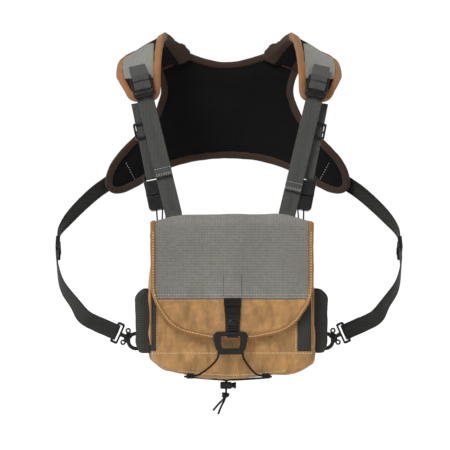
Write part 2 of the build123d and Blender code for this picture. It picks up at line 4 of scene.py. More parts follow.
import bmesh
import bpy
from bpy.props import FloatProperty, FloatVectorProperty, IntProperty, PointerProperty
from mathutils import Matrix, Vector, noise
from mathutils.bvhtree import BVHTree


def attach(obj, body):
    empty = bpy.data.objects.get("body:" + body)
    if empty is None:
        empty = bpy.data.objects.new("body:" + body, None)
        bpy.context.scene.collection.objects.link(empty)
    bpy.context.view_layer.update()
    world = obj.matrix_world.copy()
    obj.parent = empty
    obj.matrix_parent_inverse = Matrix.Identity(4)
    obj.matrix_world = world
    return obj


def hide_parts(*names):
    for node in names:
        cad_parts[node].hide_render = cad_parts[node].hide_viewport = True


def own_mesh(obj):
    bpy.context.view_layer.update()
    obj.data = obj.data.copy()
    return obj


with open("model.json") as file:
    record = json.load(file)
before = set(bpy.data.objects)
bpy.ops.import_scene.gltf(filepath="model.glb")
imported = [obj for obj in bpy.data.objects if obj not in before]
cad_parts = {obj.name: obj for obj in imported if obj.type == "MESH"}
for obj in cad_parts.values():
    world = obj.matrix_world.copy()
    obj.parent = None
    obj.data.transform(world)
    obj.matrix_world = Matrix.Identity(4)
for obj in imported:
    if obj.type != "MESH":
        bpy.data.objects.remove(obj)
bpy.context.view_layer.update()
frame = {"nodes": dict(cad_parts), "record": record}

bl_info = {
    "name": "Binocular harness pack",
    "version": (1, 0, 0),
    "blender": (4, 5, 0),
    "location": "View3D > Sidebar > Harness",
    "description": "Builds the cloth, webbing, cords and moulded parts of a binocular harness pack",
    "category": "Object",
}

MM = 0.001
NODES = frame["nodes"]
SIDES = (("right", 1), ("left", -1))
BACK = Vector((0, 1, 0))               # towards the wearer
MATERIALS = {}


# ---- colours and materials ----
def linear(code):
    """A colour written as sRGB hex, turned to the linear values that shaders take."""
    values = [int(code[i : i + 2], 16) / 255 for i in (1, 3, 5)]
    return [v / 12.92 if v <= 0.04045 else ((v + 0.055) / 1.055) ** 2.4 for v in values]


def hex_colour(name, code, about):
    value = linear(code)
    return FloatVectorProperty(name=name, description=about, default=value, subtype="COLOR", min=0, max=1)


def millimetres(name, value, about):
    return FloatProperty(name=name, description=about, default=value * MM, unit="LENGTH")


class HarnessColours(bpy.types.PropertyGroup):
    canvas: hex_colour("Canvas", "#A67D4C", "Tan cotton canvas of the case and the flap's lower half")
    grey_nylon: hex_colour("Grey nylon", "#6E6D66", "Coarse nylon of the flap's upper half and the patches")
    tan_tape: hex_colour("Flap tape", "#8A5D29", "Edge tape round the flap")
    # Painted shade: the tan edge tape darkened to brown, as it looks in shadow; used round the yoke and on
    # the pads behind the neck.
    shaded_tape: hex_colour("Yoke tape", "#35241A", "Edge tape round the yoke")
    pad_tape: hex_colour("Pad tape", "#865930", "Edge tape on the front of the shoulder pads")
    webbing: hex_colour("Webbing", "#383935", "Dark grey strap webbing")
    black_cloth: hex_colour("Black cloth", "#0E0E0E", "Mesh and cloth of the yoke, pockets and lining")
    thread: hex_colour("Thread", "#E4D3AC", "Pale sewing thread")
    plastic: hex_colour("Moulded plastic", "#0C0C0D", "Buckles, hooks, sliders and the ring")


class HarnessSizes(bpy.types.PropertyGroup):
    stitch_pitch: millimetres("Stitch pitch", 3.4, "From one stitch to the next")
    stitch_length: millimetres("Stitch length", 2.3, "Visible length of a stitch")
    thread: millimetres("Thread", 0.8, "Thickness of the thread")
    webbing: millimetres("Webbing", 1.5, "Thickness of the webbing")
    puff: millimetres("Puff", 3, "How far the padding may swell")
    pad_frames: IntProperty(name="Pad frames", description="Length of the padding's simulation", default=18)


def colour(name):
    return (*getattr(bpy.context.scene.harness_colours, name), 1.0)


def size(name):
    return getattr(bpy.context.scene.harness_sizes, name)


def add_node(tree, kind, inputs=None, **settings):
    """Adds a node, with its settings and with values or links for its inputs."""
    node = tree.nodes.new(kind)
    for key, value in settings.items():
        setattr(node, key, value)
    for key, value in (inputs or {}).items():
        if isinstance(value, bpy.types.NodeSocket):
            tree.links.new(value, node.inputs[key])
        else:
            node.inputs[key].default_value = value
    return node


def start_material(name):
    material = bpy.data.materials.new(name)
    material.use_nodes = True
    material.node_tree.nodes.clear()
    return material, material.node_tree


def finish_material(material, tree, inputs):
    """Gives a material its surface, and keeps it by its name."""
    surface = add_node(tree, "ShaderNodeBsdfPrincipled", inputs)
    add_node(tree, "ShaderNodeOutputMaterial", {0: surface.outputs[0]})
    MATERIALS[material.name] = material


def thread_waves(tree, spacing):
    """Waves along all three axes, each faded where it would run across the face."""
    coords = add_node(tree, "ShaderNodeTexCoord").outputs["Object"]
    turns = 2 * math.pi / (spacing * MM)
    scaled = add_node(tree, "ShaderNodeVectorMath", {0: coords, "Scale": turns}, operation="SCALE")
    waves = add_node(tree, "ShaderNodeVectorMath", {0: scaled.outputs[0]}, operation="SINE")
    normal = add_node(tree, "ShaderNodeNewGeometry").outputs["Normal"]
    facing = add_node(tree, "ShaderNodeVectorMath", {0: normal}, operation="ABSOLUTE")
    faces = {0: (1, 1, 1), 1: facing.outputs[0]}
    weight = add_node(tree, "ShaderNodeVectorMath", faces, operation="SUBTRACT")
    both = {0: waves.outputs[0], 1: weight.outputs[0]}
    return add_node(tree, "ShaderNodeVectorMath", both, operation="DOT_PRODUCT").outputs["Value"]


def mottle(tree, size_mm, detail=3.0, upright=1.0):
    """Soft noise of a size in mm, which may be drawn out upright."""
    coords = add_node(tree, "ShaderNodeTexCoord").outputs["Object"]
    if upright != 1:
        drawn_out = {"Vector": coords, "Scale": (1, 1, 1 / upright)}
        coords = add_node(tree, "ShaderNodeMapping", drawn_out).outputs[0]
    inputs = {"Vector": coords, "Scale": 1 / (size_mm * MM), "Detail": detail}
    return add_node(tree, "ShaderNodeTexNoise", inputs).outputs["Fac"]


def mix(tree, factor, first, second):
    node = add_node(tree, "ShaderNodeMix", {"Factor": factor}, data_type="RGBA")
    for socket, value in ((node.inputs[6], first), (node.inputs[7], second)):
        if isinstance(value, bpy.types.NodeSocket):
            tree.links.new(value, socket)
        else:
            socket.default_value = value
    return node.outputs[2]


def ramp(tree, value, low, high, out_low=0.0, out_high=1.0):
    inputs = {"Value": value, "From Min": low, "From Max": high, "To Min": out_low, "To Max": out_high}
    return add_node(tree, "ShaderNodeMapRange", inputs).outputs[0]


def relief(tree, height, depth_mm, strength=1.0, under=None):
    """A bump of a depth in mm, which may lie over another one."""
    inputs = {"Height": height, "Distance": depth_mm * MM, "Strength": strength}
    if under:
        inputs["Normal"] = under
    return add_node(tree, "ShaderNodeBump", inputs).outputs[0]


def shade(base, amount):
    return (*[min(1.0, channel * amount) for channel in base[:3]], 1.0)


def woven(name, base, spacing, depth, contrast, blotch, roughness=0.85, sheen=0.2, gloss=0.3, crease=0.0):
    """Cloth: a visible weave, heathered yarn and broad changes of tone; crease adds lighter patches and
    upright streaks of painted crease shade.
    """
    material, tree = start_material(name)
    waves = thread_waves(tree, spacing)
    yarn = ramp(tree, waves, -1.4, 1.4)
    fleck = ramp(tree, mottle(tree, spacing * 2.2), 0.35, 0.65)
    cloth = mix(tree, yarn, shade(base, 1 - contrast), shade(base, 1 + contrast))
    cloth = mix(tree, ramp(tree, fleck, 0, 1, 0.0, 0.35), cloth, shade(base, 1 + 1.6 * contrast))
    worn = ramp(tree, mottle(tree, blotch, 5.0), 0.36, 0.64, 0.0, 0.32 + crease / 4)
    cloth = mix(tree, worn, cloth, shade(base, 0.66))
    if crease:
        lighter_patches = ramp(tree, mottle(tree, 9, 6.0), 0.5, 0.72, 0.0, 0.5)
        cloth = mix(tree, lighter_patches, cloth, shade(base, 1.35))
        # Painted shade: upright darker streaks stand for the shade of small creases.
        crease_shade = ramp(tree, mottle(tree, 9, 4.0, 2.6), 0.46, 0.66, 0.0, 0.6 * crease)
        cloth = mix(tree, crease_shade, cloth, shade(base, 0.55))
    weave = relief(tree, waves, depth, 0.8)
    slub = relief(tree, mottle(tree, 11, 4.0, 1 + 1.2 * crease), depth + 3.6 * crease, under=weave)
    inputs = {"Base Color": cloth, "Roughness": roughness, "IOR": 1.53, "Specular IOR Level": gloss}
    inputs |= {"Sheen Weight": sheen, "Sheen Roughness": 0.5, "Normal": slub}
    finish_material(material, tree, inputs)


def open_mesh(name, base, spacing, depth):
    """Spacer mesh: rows of small open cells that read as dark dots on a matt cloth."""
    material, tree = start_material(name)
    waves = thread_waves(tree, spacing)
    cell = ramp(tree, waves, 0.3, 1.1)
    tone = mix(tree, cell, shade(base, 1.5), shade(base, 0.35))
    tone = mix(tree, ramp(tree, mottle(tree, 60), 0.4, 0.6, 0.0, 0.4), tone, shade(base, 0.75))
    bump = relief(tree, ramp(tree, cell, 0, 1, 1, 0), depth)
    inputs = {"Base Color": tone, "Roughness": 0.9, "IOR": 1.5, "Specular IOR Level": 0.08, "Normal": bump}
    finish_material(material, tree, inputs)


def moulded(name, base):
    """Moulded acetal: deep black with soft, slightly broken highlights and a fine grain."""
    material, tree = start_material(name)
    bump = relief(tree, mottle(tree, 0.9), 0.04, 0.5)
    blotches = ramp(tree, mottle(tree, 12), 0.4, 0.6, 0.0, 0.6)
    tone = mix(tree, blotches, shade(base, 0.8), shade(base, 1.5))
    rough = ramp(tree, mottle(tree, 7), 0.35, 0.65, 0.27, 0.44)
    inputs = {"Base Color": tone, "Roughness": rough, "IOR": 1.48, "Specular IOR Level": 0.3, "Normal": bump}
    finish_material(material, tree, inputs)


def drawn_steel(name):
    """Drawn spring wire: bright metal with faint streaks."""
    material, tree = start_material(name)
    rough = ramp(tree, mottle(tree, 1.2), 0.3, 0.7, 0.22, 0.38)
    steel = (*linear("#B9B9B6"), 1)
    finish_material(material, tree, {"Base Color": steel, "Metallic": 1.0, "Roughness": rough})


def make_materials():
    """One material for each thing that the pack is sewn or moulded from."""
    for plain in list(bpy.data.materials):
        bpy.data.materials.remove(plain)
    black, webbing = colour("black_cloth"), colour("webbing")
    # Cotton duck: about 1 mm between threads, drawn at 1.5 mm so that it shows; matt, with lighter patches
    # and upright streaks of painted crease shade.
    woven("canvas_tan", colour("canvas"), 1.5, 0.2, 0.16, 26, crease=1.0)
    # Coarse nylon: a plain weave of 0.8 mm, drawn at 2 mm; heathered, with a dull lustre.
    woven("grey_cordura", colour("grey_nylon"), 2.0, 0.25, 0.34, 70, 0.75)
    # Folded edge tapes: a fine rib of 1.2 mm; a slight sheen on the tan, and dull on the brown and the rust.
    # The brown is painted shade: the tan tape as it looks in shadow, round the yoke and on the pads behind
    # the neck.
    woven("edge_tape_tan", colour("tan_tape"), 1.2, 0.12, 0.14, 25, 0.7)
    woven("edge_tape_brown", colour("shaded_tape"), 1.2, 0.12, 0.16, 25, 0.75, 0.05, 0.2)
    woven("edge_tape_rust", colour("pad_tape"), 1.2, 0.12, 0.2, 12, 0.7, 0.1)
    # Nylon webbing: strong ribs about 1.8 mm apart, which catch the light; darker on the side straps.
    woven("webbing_grey", webbing, 1.8, 0.3, 0.25, 40, 0.62, 0.08)
    woven("webbing_charcoal", shade(webbing, 0.45), 1.8, 0.3, 0.3, 40, 0.62, 0, 0.2)
    woven("webbing_black", shade(black, 1.6), 1.8, 0.3, 0.25, 30, 0.6, 0, 0.15)
    # Knitted spacer mesh: matt, with cells about 2.6 mm apart on the yoke and 2.2 mm on the pockets.
    open_mesh("mesh_black", black, 2.6, 0.5)
    open_mesh("mesh_grey", (*linear("#30302E"), 1), 2.2, 0.4)
    # Pad cloth: a close black weave that stays matt. Lining: smoother, with a faint gleam.
    woven("pad_cloth_black", shade(black, 1.3), 1.3, 0.12, 0.2, 40, 0.85, 0, 0.1)
    woven("lining_black", black, 0.9, 0.05, 0.08, 60, 0.6, 0, 0.15)
    # Closed-cell foam: dull and slightly pitted.
    woven("foam_black", shade(black, 1.8), 2.4, 0.15, 0.1, 20, 0.95, 0, 0.1)
    # Braided elastic cord: a braid of about 1 mm with a soft shine.
    woven("shock_cord_black", black, 1.0, 0.2, 0.4, 12, 0.5, 0, 0.2)
    # Moulded acetal: black with soft, slightly broken highlights.
    moulded("acetal_black", colour("plastic"))
    # Spring wire: bright, with faint streaks.
    drawn_steel("spring_steel")
    # Bonded polyester thread: twisted and slightly shiny; pale on tan cloth, grey or dark on grey cloth.
    woven("thread_pale", colour("thread"), 0.8, 0.08, 0.12, 20, 0.55, 0.1)
    woven("thread_grey", (*linear("#A9ABB0"), 1), 0.8, 0.08, 0.12, 20, 0.55, 0.1)
    woven("thread_dark", (*linear("#2E2E30"), 1), 0.8, 0.08, 0.12, 20, 0.55, 0, 0.2)
    slots = {part["node"]: part["material_slot"] for part in frame["record"]["subparts"]}
    for name, node in NODES.items():
        dress(node, slots[name])


def dress(obj, material):
    obj.data.materials.clear()
    obj.data.materials.append(MATERIALS[material])


# ---- mesh tools ----
def make_object(name, bm, material):
    mesh = bpy.data.meshes.new(name)
    bm.to_mesh(mesh)
    bm.free()
    obj = bpy.data.objects.new(name, mesh)
    bpy.context.scene.collection.objects.link(obj)
    for face in mesh.polygons:
        face.use_smooth = True
    dress(obj, material)
    return obj


def settle(obj):
    """Applies the object's modifiers."""
    bpy.context.view_layer.update()
    graph = bpy.context.evaluated_depsgraph_get()
    mesh = bpy.data.meshes.new_from_object(obj.evaluated_get(graph))
    obj.modifiers.clear()
    obj.data = mesh
    for face in mesh.polygons:
        face.use_smooth = True
    return obj


def place(obj, body, slot, *nodes):
    """Lets a piece ride on a body, in place of its plain solids."""
    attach(obj, body)
    if nodes:
        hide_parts(*nodes)
    return obj


def flipped(obj, name):
    """A copy of a piece for the other side."""
    bm = bmesh.new()
    bm.from_mesh(obj.data)
    bmesh.ops.scale(bm, vec=(-1, 1, 1), verts=bm.verts)
    bmesh.ops.reverse_faces(bm, faces=bm.faces)
    return make_object(name, bm, obj.data.materials[0].name)


def place_pair(right, body, slot, node=None, shared=False):
    """Places a right-hand piece and its mirror image, each for its own side's node or for a shared one."""
    left = flipped(right, right.name.replace("right", "left"))
    for side, piece in (("right", right), ("left", left)):
        nodes = [node if shared else f"{side}_{node}"] if node else []
        place(piece, body if body == "pack" else f"{side}_{body}", slot, *nodes)
    return left


def parted(obj, name, wanted, material):
    """A copy of the part of a piece whose faces are wanted, closed again where it was cut."""
    bm = bmesh.new()
    bm.from_mesh(obj.data)
    rest = [face for face in bm.faces if not wanted(face.calc_center_median())]
    bmesh.ops.delete(bm, geom=rest, context="FACES")
    bmesh.ops.holes_fill(bm, edges=[edge for edge in bm.edges if edge.is_boundary])
    return make_object(name, bm, material)


def skin(name, nodes, voxel, smooth, material):
    """One closed skin of even faces round some solids, with its edges rounded by smoothing."""
    bm = bmesh.new()
    for node in nodes:
        bm.from_mesh(NODES[node].data)
    return evened(make_object(name, bm, material), voxel, smooth)


def swell(obj, cap=None, tape=None):
    """Lets the cloth of a pad swell over its foam, less near its edge tape, and rounds the result."""
    cap = cap or size("puff")
    held = surface_of(NODES[tape]) if tape else None
    before = [v.co.copy() for v in obj.data.vertices]
    cloth = obj.modifiers.new("cloth", "CLOTH")
    cloth.settings.use_pressure = True
    cloth.settings.uniform_pressure_force = 4.0
    cloth.settings.effector_weights.gravity = 0
    cloth.point_cache.frame_start = 1
    cloth.point_cache.frame_end = size("pad_frames")
    for step in range(1, size("pad_frames") + 1):
        bpy.context.scene.frame_set(step)
    settle(obj)
    for vertex, old in zip(obj.data.vertices, before):
        move = vertex.co - old
        most = cap
        if held:
            most *= min(1.0, held.find_nearest(old)[3] / (16 * MM))
        if move.length > most:
            vertex.co = old + move.normalized() * most
    bpy.context.scene.frame_set(1)
    finer = obj.modifiers.new("finer", "SUBSURF")
    finer.levels = 1
    return settle(obj)


def shift(obj, rule):
    """Moves each point along its normal by what the rule says for its place."""
    normals = [v.normal.copy() for v in obj.data.vertices]
    for vertex, normal in zip(obj.data.vertices, normals):
        vertex.co += normal * rule(vertex.co, normal)
    obj.data.update()
    return obj


def outwards(distance):
    """A rule for the same distance in mm everywhere."""
    return lambda at, normal: distance * MM


def edge_tape(name, node, voxel, smooth, material, out, crinkles):
    """Folded tape round an edge: a little thicker than its solid, and crinkled."""
    tape = skin(name, [node], voxel, smooth, material)
    shift(tape, outwards(out))
    return shift(tape, crinkles)


def sway(obj, rule):
    """Bends a flap's cloth as a whole: forwards on its front, and upwards on its top."""
    for vertex in obj.data.vertices:
        rise = min(1.0, max(0.0, (vertex.co.z / MM - 80) / 14))
        vertex.co += Vector((0, rise - 1, rise)).normalized() * rule(vertex.co, None)
    obj.data.update()
    return obj


def folds(scale, depth, stretch=(1, 1, 1), seed=0.0):
    """A rule for soft folds: noise of a given scale in mm, stretched along the axes."""

    def rule(at, normal):
        place_at = Vector(a / (scale * MM * s) for a, s in zip(at, stretch)) + Vector((seed, seed, seed))
        return noise.noise(place_at) * depth * MM

    return rule


def smooth_line(points, steps=8):
    """A smooth line through points."""
    points = [Vector(p) for p in points]
    padded = [points[0] * 2 - points[1], *points, points[-1] * 2 - points[-2]]
    line = []
    for i in range(1, len(padded) - 2):
        a, b, c, d = padded[i - 1 : i + 3]
        square, cube = 2 * a - 5 * b + 4 * c - d, 3 * b - a - 3 * c + d
        for step in range(steps):
            t = step / steps
            line.append(0.5 * (2 * b + (c - a) * t + square * t**2 + cube * t**3))
    line.append(points[-1])
    return line


def rounded(points, radii, closed=False, steps=6):
    """Points of a line or outline with its corners rounded to the radii."""
    points = [Vector(p) for p in points]
    count = len(points)
    line = []
    for i, (at, radius) in enumerate(zip(points, radii)):
        if radius == 0 or (not closed and i in (0, count - 1)):
            line.append(at)
            continue
        before, after = (points[i - 1] - at).normalized(), (points[(i + 1) % count] - at).normalized()
        half = before.angle(after) / 2
        reach = radius / math.tan(half)
        middle = at + (before + after).normalized() * (radius / math.sin(half))
        start, end = at + before * reach - middle, at + after * reach - middle
        for step in range(steps + 1):
            line.append(middle + start.slerp(end, step / steps).normalized() * radius)
    return line


def evenly(line, spacing, closed=False):
    """Points at equal distances along a line."""
    line = [Vector(p) for p in line]
    if closed:
        line.append(line[0].copy())
    total = sum((b - a).length for a, b in zip(line, line[1:]))
    count = max(1, round(total / spacing))
    step = total / count
    found, reach, want = [], 0.0, 0.0
    for a, b in zip(line, line[1:]):
        length = (b - a).length
        while length > 0 and want <= reach + length + 1e-9 and len(found) <= count:
            found.append(a.lerp(b, (want - reach) / length))
            want += step
        reach += length
    return found[:-1] if closed and len(found) > count else found


def tangents(line):
    last = len(line) - 1
    return [(line[min(i + 1, last)] - line[max(i - 1, 0)]).normalized() for i in range(len(line))]


def bridge(bm, rows):
    """Joins rings of points into a tube."""
    count = len(rows[0])
    for first, second in zip(rows, rows[1:]):
        for i in range(count):
            j = (i + 1) % count
            bm.faces.new((first[i], first[j], second[j], second[i]))


def band(name, line, across, width_mm, material, crown=0.0):
    """Webbing along a line: across gives its width direction at each point; its edges are rounded."""
    ring = []
    width, edge = width_mm * MM, size("webbing") / 2
    for side in (1, -1):
        for step in range(5):
            angle = math.radians(-90 + 45 * step)
            ring.append((side * (width / 2 - edge + math.cos(angle) * edge), side * math.sin(angle) * edge))
        for part in (0.5, 0.0, -0.5):
            raised = edge + crown * (1 - 4 * part * part) * edge
            ring.append((side * part * (width - 2 * edge), side * raised))
    bm = bmesh.new()
    rows = []
    for at, ahead, wide in zip(line, tangents(line), across):
        wide = (wide - ahead * wide.dot(ahead)).normalized()
        up = ahead.cross(wide)
        rows.append([bm.verts.new(at + wide * x + up * y) for x, y in ring])
    bridge(bm, rows)
    bm.faces.new(rows[0][::-1])
    bm.faces.new(rows[-1])
    bmesh.ops.recalc_face_normals(bm, faces=bm.faces)
    return make_object(name, bm, material)


def round_tube(name, line, radius, material, sides=8):
    """A round tube along a line, with domed ends."""
    bm = bmesh.new()
    along = tangents(line)
    side = along[0].orthogonal().normalized()
    rows = []
    for at, ahead in zip(line, along):
        side = (side - ahead * side.dot(ahead)).normalized()
        other = ahead.cross(side)
        row = []
        for k in range(sides):
            angle = 2 * math.pi * k / sides
            row.append(bm.verts.new(at + (side * math.cos(angle) + other * math.sin(angle)) * radius))
        rows.append(row)
    bridge(bm, rows)
    for row, at, ahead in ((rows[0], line[0], -along[0]), (rows[-1], line[-1], along[-1])):
        tip = bm.verts.new(at + ahead * radius * 0.5)
        for k in range(sides):
            bm.faces.new((row[k], row[(k + 1) % sides], tip))
    bmesh.ops.recalc_face_normals(bm, faces=bm.faces)
    return make_object(name, bm, material)


def slab(bm, corners, near, far):
    """Adds a plate to a mesh: its corners in the XZ plane, and two Y positions, all in mm."""
    front = [bm.verts.new(mm(x, near, z)) for x, z in corners]
    back = [bm.verts.new(mm(x, far, z)) for x, z in corners]
    count = len(corners)
    faces = [bm.faces.new(front), bm.faces.new(back[::-1])]
    for i in range(count):
        j = (i + 1) % count
        faces.append(bm.faces.new((front[j], front[i], back[i], back[j])))
    bmesh.ops.recalc_face_normals(bm, faces=faces)


def taper(bm, x, foot, top, near, far):
    """Adds a plate that is even about an x; foot and top are each a half width and a height."""
    corners = [(x - foot[0], foot[1]), (x + foot[0], foot[1]), (x + top[0], top[1]), (x - top[0], top[1])]
    slab(bm, corners, near, far)


def evened(obj, voxel, smooth):
    """Turns overlapping solids into one even skin with rounded edges."""
    remesh = obj.modifiers.new("even", "REMESH")
    remesh.mode = "VOXEL"
    remesh.voxel_size = voxel * MM
    if smooth:
        obj.modifiers.new("soft", "SMOOTH").iterations = smooth
    material = obj.data.materials[0].name
    settle(obj)
    dress(obj, material)
    return obj


def axes(x, y, z, at):
    """Matrix of a frame from its three axes and its place."""
    turn = Matrix((x, y, z)).transposed().to_4x4()
    turn.translation = at
    return turn


def surface_of(*objects):
    bm = bmesh.new()
    for obj in objects:
        bm.from_mesh(obj.data)
    tree = BVHTree.FromBMesh(bm)
    bm.free()
    return tree


def stitches(name, rows, target, toward, material, lift=0.15):
    """Rows of sewn stitches, pressed against a surface that is looked for in one direction."""
    bm = bmesh.new()
    pitch, length, thick = size("stitch_pitch"), size("stitch_length"), size("thread")
    for row in rows:
        hits = []
        for at in evenly(row, pitch):
            hit, normal, _, _ = target.ray_cast(at - toward * 0.05, toward, 0.12)
            if hit and abs(normal.dot(toward)) > 0.15:
                hits.append((hit, normal if normal.dot(toward) < 0 else -normal))
        for i, (hit, normal) in enumerate(hits):
            ahead = hits[min(i + 1, len(hits) - 1)][0] - hits[max(i - 1, 0)][0]
            if ahead.length < 1e-6 or ahead.length > 4 * pitch:
                continue
            ahead = (ahead - normal * ahead.dot(normal)).normalized()
            side = ahead.cross(normal)
            turn = axes(ahead, side, normal, hit + normal * thick * lift)
            one = bmesh.ops.create_uvsphere(bm, u_segments=6, v_segments=4, radius=1.0)
            oval = Matrix.Diagonal((length / 2, thick / 2, thick / 2.2, 1))
            shape = turn @ oval @ Matrix.Rotation(math.pi / 2, 4, "Y")
            bmesh.ops.transform(bm, matrix=shape, verts=one["verts"])
    return make_object(name, bm, material)


def mm(*values):
    return Vector(values) * MM


def local_frame(top, foot, across=(1, 0, 0)):
    """Matrix of a strap's own frame: origin at its top, Z up the strap, X across it, Y to the wearer."""
    up = (Vector(top) - Vector(foot)).normalized()
    across = Vector(across)
    across = (across - up * across.dot(up)).normalized()
    return axes(across, up.cross(across), up, Vector(top) * MM)


LOCK_AT = (114, 31, 268)               # ladder lock on the right shoulder pad, in mm like the next ones
STRAP_FOOT = (72, -3.5, 97)            # where the main strap reaches the case
LEASH_TOP = (121, 41, 251)
LEASH_FOOT = (91.5, 8.5, 107.6)
MAIN_WEB, LEASH_WEB, SIDE_WEB = 22, 18, 20
LOCK = local_frame(LOCK_AT, STRAP_FOOT)
LOCK_REACH = (Vector(LOCK_AT) - Vector(STRAP_FOOT)).length
LEASH = local_frame(LEASH_TOP, LEASH_FOOT)


def in_frame(matrix, points):
    return [matrix @ mm(*p) for p in points]


def corner_line(points, radii, steps=6):
    """A line in 3-D with rounded corners, in metres, from points in mm."""
    return rounded([mm(*p) for p in points], [r * MM for r in radii], steps=steps)


def strap_webbing(name, matrix, points, radii, width):
    """Webbing on a line given in a strap's own frame."""
    line = [matrix @ p for p in corner_line(points, radii)]
    across = [matrix.to_3x3() @ Vector((1, 0, 0))] * len(line)
    return band(name, line, across, width, "webbing_grey")


# ---- pieces ----
class PieceOperator(bpy.types.Operator):
    bl_options = {"REGISTER", "UNDO"}


class HARNESS_OT_yoke(PieceOperator):
    """Back panel with its wings, in swollen mesh cloth, and the tape round its edge"""

    bl_idname = "harness.yoke"
    bl_label = "Yoke"

    def execute(self, context):
        nodes = ["back_panel_lining", "back_panel_foam", "back_panel_shell"]
        panel = skin("yoke_panel", [*nodes, "back_panel_binding"], 4, 4, "mesh_black")
        swell(panel, tape="back_panel_binding")
        shift(panel, folds(55, 1.6, (1, 1, 0.6), 3.1))
        place(panel, "pack", "mesh_black", *nodes)
        crinkles = folds(14, 0.6, seed=8.0)
        # Painted shade: the yoke's tape takes the brown, shaded colour of the tan tape.
        tape = edge_tape("yoke_edge_tape", "back_panel_binding", 1.6, 5, "edge_tape_brown", 1.1, crinkles)
        place(tape, "pack", "edge_tape_brown", "back_panel_binding")
        tacks = [[mm(sign * 139, 150, 172), mm(sign * 128, 150, 151)] for _, sign in SIDES]
        sewn = stitches("wing_tacks", tacks, surface_of(panel), BACK, "thread_grey", 0.3)
        place(sewn, "pack", "mesh_black")
        return {"FINISHED"}


class HARNESS_OT_shoulder_pads(PieceOperator):
    """Swollen shoulder pads with tape round their edges and a coarse nylon patch on each"""

    bl_idname = "harness.shoulder_pads"
    bl_label = "Shoulder pads"

    def lower_neck(self, piece):
        """Lowers the end of a pad that lies behind the neck."""
        for vertex in piece.data.vertices:
            behind = min(1.0, max(0.0, (vertex.co.y / MM - 155) / 25))
            inner = min(1.0, max(0.0, (88 - vertex.co.x / MM) / 20))
            vertex.co.z -= 8 * MM * behind * inner

    def execute(self, context):
        pad = skin("right_pad", ["right_shoulder_pad", "right_pad_binding"], 3, 3, "pad_cloth_black")
        swell(pad, 2 * MM, "right_pad_binding")
        shift(pad, folds(30, 0.8, seed=5.0))
        crinkles = folds(14, 0.6, seed=2.0)
        tape = edge_tape("right_pad_tape", "right_pad_binding", 1.5, 4, "edge_tape_brown", 1.0, crinkles)
        for piece in (pad, tape):
            self.lower_neck(piece)
        # Painted shade: the tape behind the neck takes the brown, shaded colour; in front it keeps the tape's
        # own tan-orange.
        shade_starts = 150 * MM
        shaded_rear = parted(tape, "right_neck_tape", lambda at: at.y > shade_starts, "edge_tape_brown")
        front = parted(tape, "right_front_tape", lambda at: at.y <= shade_starts, "edge_tape_rust")
        bpy.data.objects.remove(tape)
        left_pad = place_pair(pad, "pack", "pad_cloth_black", "shoulder_pad")
        place_pair(shaded_rear, "pack", "edge_tape_brown", "pad_binding")
        place_pair(front, "pack", "edge_tape_brown", "pad_binding")
        patches = skin("pad_patches", ["shoulder_patches"], 0.9, 2, "grey_cordura")
        shift(patches, outwards(0.9))
        place(patches, "pack", "grey_cordura", "shoulder_patches")
        return {"FINISHED"}


class HARNESS_OT_main_straps(PieceOperator):
    """Load webbing up behind the ladder locks, over their bars and down again as the tails"""

    bl_idname = "harness.main_straps"
    bl_label = "Main straps"

    def execute(self, context):
        for side, tail_end in (("right", 142), ("left", 122)):
            web = self.webbing(side, tail_end)
            hem = [(-tail_end + up) for up in (1.2, 3.0, 10.2)]
            rows = [in_frame(LOCK, [(-9.5, 0, height), (9.5, 0, height)]) for height in hem]
            back = (LOCK.to_3x3() @ BACK).normalized()
            sewn = stitches(side + "_tail_hem", rows, surface_of(web), back, "thread_grey")
            if side == "left":
                for piece in (web, sewn):
                    piece.data.transform(Matrix.Diagonal((-1, 1, 1, 1)))
                    piece.data.flip_normals()
            place(web, "pack", "webbing_grey", side + "_main_strap")
            place(sewn, "pack", "webbing_grey")
        return {"FINISHED"}

    def webbing(self, side, tail_end):
        """The strap as it lies on the right, from inside the case to the end of its tail."""
        points = [
            (0, 5.2, 6 - LOCK_REACH), (0, 5.2, 6.0), (0, -3.2, 6.0), (0, -3.2, -3.1), (0, 3.2, -3.1),
            (0, 3.2, -tail_end), (0, 1.4, -tail_end), (0, 1.4, 11 - tail_end),
        ]
        line = [LOCK @ p for p in corner_line(points, [0, 1.3, 1.3, 1.3, 1.3, 0.8, 0.8, 0])]
        down = Vector((-0.235, 0, -0.972))
        start = Vector((line[0].x / MM - 0.6, -3.55, 96))
        below = [(start + down * 40) * MM, (start + down * 14) * MM, start * MM]
        line = smooth_line([*below, line[0]], 6)[:-1] + line
        finer = []
        for a, b in zip(line, line[1:]):
            parts = max(1, int((b - a).length / (6 * MM)))
            finer += [a.lerp(b, i / parts) for i in range(parts)]
        finer.append(line[-1])
        across = [LOCK.to_3x3() @ Vector((1, 0, 0))] * len(finer)
        return band(side + "_main_webbing", finer, across, MAIN_WEB, "webbing_grey", 0.3)


class HARNESS_OT_lock_loops(PieceOperator):
    """Short webbing loops that tie the ladder locks to the pads"""

    bl_idname = "harness.lock_loops"
    bl_label = "Lock loops"

    def execute(self, context):
        points = [
            (0, 31.4, 33.6), (0, 3.4, 12.0), (0, 3.4, 8.1), (0, -3.4, 8.1), (0, -3.4, 14.4), (0, 24.6, 36.0),
        ]
        loop = strap_webbing("right_lock_webbing", LOCK, points, [0, 3.0, 1.4, 1.4, 3.0, 0], MAIN_WEB)
        place_pair(loop, "pack", "webbing_grey", "lock_webbing_loops", shared=True)
        return {"FINISHED"}


